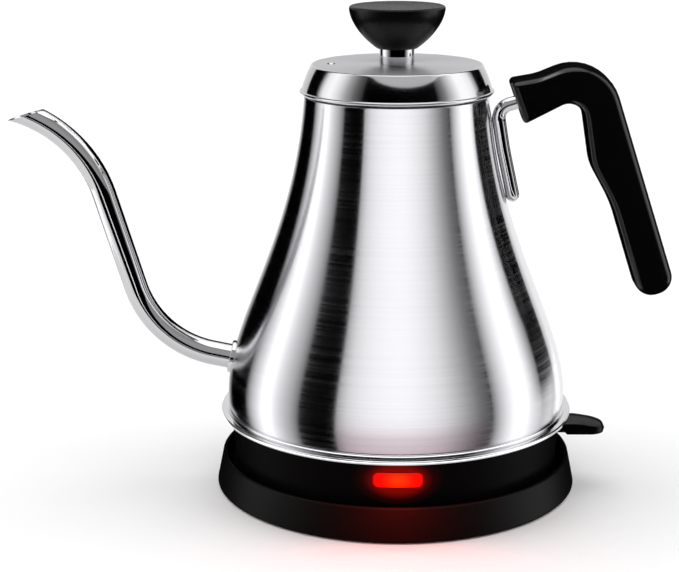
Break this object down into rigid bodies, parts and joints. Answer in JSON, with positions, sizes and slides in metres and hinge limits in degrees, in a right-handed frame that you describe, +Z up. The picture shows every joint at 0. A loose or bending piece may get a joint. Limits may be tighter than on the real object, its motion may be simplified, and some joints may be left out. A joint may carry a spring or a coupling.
{
  "type": "electric gooseneck kettle",
  "caption": "Bell-shaped steel kettle with a slender swan-neck pouring spout, loop-free side grip, lift-off lid with a bowl knob, rocker switch and round power base.",
  "frame": {"origin": "centre of the power base, on the surface it stands on", "axes": "+Z up, -X towards the spout, +X towards the handle, -Y towards the indicator window"},
  "size_m": [0.2809, 0.1558, 0.2065],
  "materials": {
    "black_plastic": "satin black moulding",
    "gloss_black": "glossy black moulding",
    "knob_black": "satin black moulding",
    "foot_rubber": "matt black rubber",
    "brushed_body": "stainless steel, fine grain running round the body",
    "lid_steel": "stainless steel, brushed top and polished skirt",
    "polished_steel": "mirror polished stainless steel",
    "zinc_steel": "plated screw steel",
    "element_steel": "dull sheath steel",
    "spreader_aluminium": "plain aluminium plate",
    "contact_brass": "bare contact brass",
    "pale_plastic": "heat resistant moulding",
    "board_green": "circuit board",
    "lit_red": "lit translucent red"
  },
  "bodies": {
    "power_base": {"base_cover": "black_plastic", "base_bottom": "black_plastic", "base_feet": "foot_rubber", "base_screws": "zinc_steel", "base_connector": "black_plastic", "base_contacts": "contact_brass", "cord_inlet": "foot_rubber"},
    "connector": {"kettle_connector": "black_plastic", "connector_pin": "contact_brass", "connector_ring": "contact_brass"},
    "kettle": {"kettle_skirt": "black_plastic", "bottom_cover": "black_plastic", "cover_screws": "zinc_steel", "base_ring": "polished_steel", "body_shell": "brushed_body", "vessel_bottom": "brushed_body", "heat_spreader": "spreader_aluminium", "heating_element": "element_steel", "element_terminals": "contact_brass", "control_body": "pale_plastic", "bimetal_discs": "element_steel", "indicator_lens": "lit_red", "indicator_board": "board_green", "indicator_lamps": "lit_red", "lever_pin": "zinc_steel", "spout_tube": "polished_steel", "spout_collar": "polished_steel", "handle_rod": "polished_steel", "handle_grip": "gloss_black", "handle_screw": "zinc_steel"},
    "lid": {"lid_cover": "lid_steel", "lid_plug": "brushed_body", "knob_stem": "polished_steel", "lid_knob": "knob_black", "knob_screw": "zinc_steel", "knob_washer": "zinc_steel"},
    "switch": {"switch_lever": "gloss_black"},
    "trip": {"trip_rod": "pale_plastic"}
  },
  "joints": [
    {"name": "kettle_lift", "type": "slide", "parent": "power_base", "child": "connector", "axis": [0, 0, 1], "range_m": [0, 0.1]},
    {"name": "kettle_turn", "type": "hinge", "parent": "connector", "child": "kettle", "pos_m": [0, 0, 0], "axis": [0, 0, 1], "continuous": true},
    {"name": "lid_lift", "type": "slide", "parent": "kettle", "child": "lid", "axis": [0, 0, 1], "range_m": [0, 0.08]},
    {"name": "switch_press", "type": "hinge", "parent": "kettle", "child": "switch", "pos_m": [0.062, 0, 0.024], "axis": [0, -1, 0], "range_deg": [0, 8]},
    {"name": "trip_slide", "type": "slide", "parent": "kettle", "child": "trip", "axis": [0, 0, 1], "range_m": [-0.0023, 0]}
  ],
  "couplings": [
    {"joint": "trip_slide", "follows": "switch_press", "m_per_rad": -0.0162}
  ]
}
